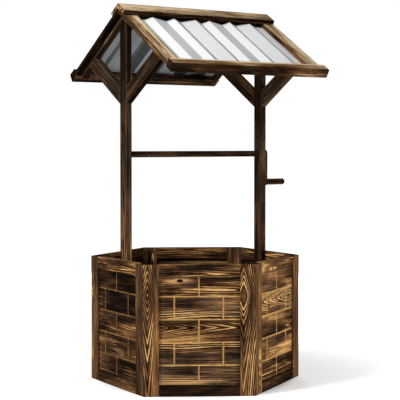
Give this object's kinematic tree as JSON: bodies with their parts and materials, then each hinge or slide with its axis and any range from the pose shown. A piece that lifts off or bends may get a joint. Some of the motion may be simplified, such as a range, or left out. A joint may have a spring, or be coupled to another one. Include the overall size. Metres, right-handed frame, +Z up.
{
  "type": "wishing well planter",
  "caption": "Hexagonal charred-wood planter box with brick-scored panels, posts carrying a windlass bar with a hand crank, and a gabled roof of corrugated sheet.",
  "frame": {"origin": "on the ground, at the centre of the hexagonal box, on the underside of the floor bearer", "axes": "+X along the ridge and the windlass towards the crank, +Y towards the back, +Z up"},
  "size_m": [0.6138, 0.6398, 1.1329],
  "materials": {
    "charred_frame": "charred and oiled softwood, dark brown with pale grain",
    "charred_infill": "charred softwood boards with raw scored joints",
    "floor_wood": "rough charred softwood",
    "roof_trim": "lightly charred softwood",
    "windlass_wood": "charred softwood",
    "roof_metal": "satin pale grey corrugated sheet",
    "screw_steel": "zinc plated"
  },
  "bodies": {
    "frame": {"right_stile_1": "charred_frame", "right_stile_2": "charred_frame", "right_top_rail": "charred_frame", "right_bottom_rail": "charred_frame", "right_infill": "charred_infill", "back_right_stile_1": "charred_frame", "back_right_stile_2": "charred_frame", "back_right_top_rail": "charred_frame", "back_right_bottom_rail": "charred_frame", "back_right_infill": "charred_infill", "back_left_stile_1": "charred_frame", "back_left_stile_2": "charred_frame", "back_left_top_rail": "charred_frame", "back_left_bottom_rail": "charred_frame", "back_left_infill": "charred_infill", "left_stile_1": "charred_frame", "left_stile_2": "charred_frame", "left_top_rail": "charred_frame", "left_bottom_rail": "charred_frame", "left_infill": "charred_infill", "front_left_stile_1": "charred_frame", "front_left_stile_2": "charred_frame", "front_left_top_rail": "charred_frame", "front_left_bottom_rail": "charred_frame", "front_left_infill": "charred_infill", "front_right_stile_1": "charred_frame", "front_right_stile_2": "charred_frame", "front_right_top_rail": "charred_frame", "front_right_bottom_rail": "charred_frame", "front_right_infill": "charred_infill", "floor_board": "floor_wood", "floor_bearer": "floor_wood", "left_post": "charred_frame", "right_post": "charred_frame", "left_brace_front": "charred_frame", "left_brace_back": "charred_frame", "right_brace_front": "charred_frame", "right_brace_back": "charred_frame", "front_rafter_left": "charred_frame", "front_rafter_right": "charred_frame", "front_ridge_purlin": "charred_frame", "front_eave_purlin": "charred_frame", "front_roof_sheet": "roof_metal", "front_ridge_cap": "roof_trim", "front_eave_board": "roof_trim", "front_rake_left": "roof_trim", "front_rake_right": "roof_trim", "back_rafter_left": "charred_frame", "back_rafter_right": "charred_frame", "back_ridge_purlin": "charred_frame", "back_eave_purlin": "charred_frame", "back_roof_sheet": "roof_metal", "back_ridge_cap": "roof_trim", "back_eave_board": "roof_trim", "back_rake_left": "roof_trim", "back_rake_right": "roof_trim"},
    "windlass": {"windlass_bar": "windlass_wood", "crank_arm": "windlass_wood", "crank_grip": "windlass_wood", "crank_screw": "screw_steel"}
  },
  "joints": [
    {"name": "windlass_turn", "type": "hinge", "parent": "frame", "child": "windlass", "pos_m": [0, 0, 0.6885], "axis": [1, 0, 0], "continuous": true}
  ]
}
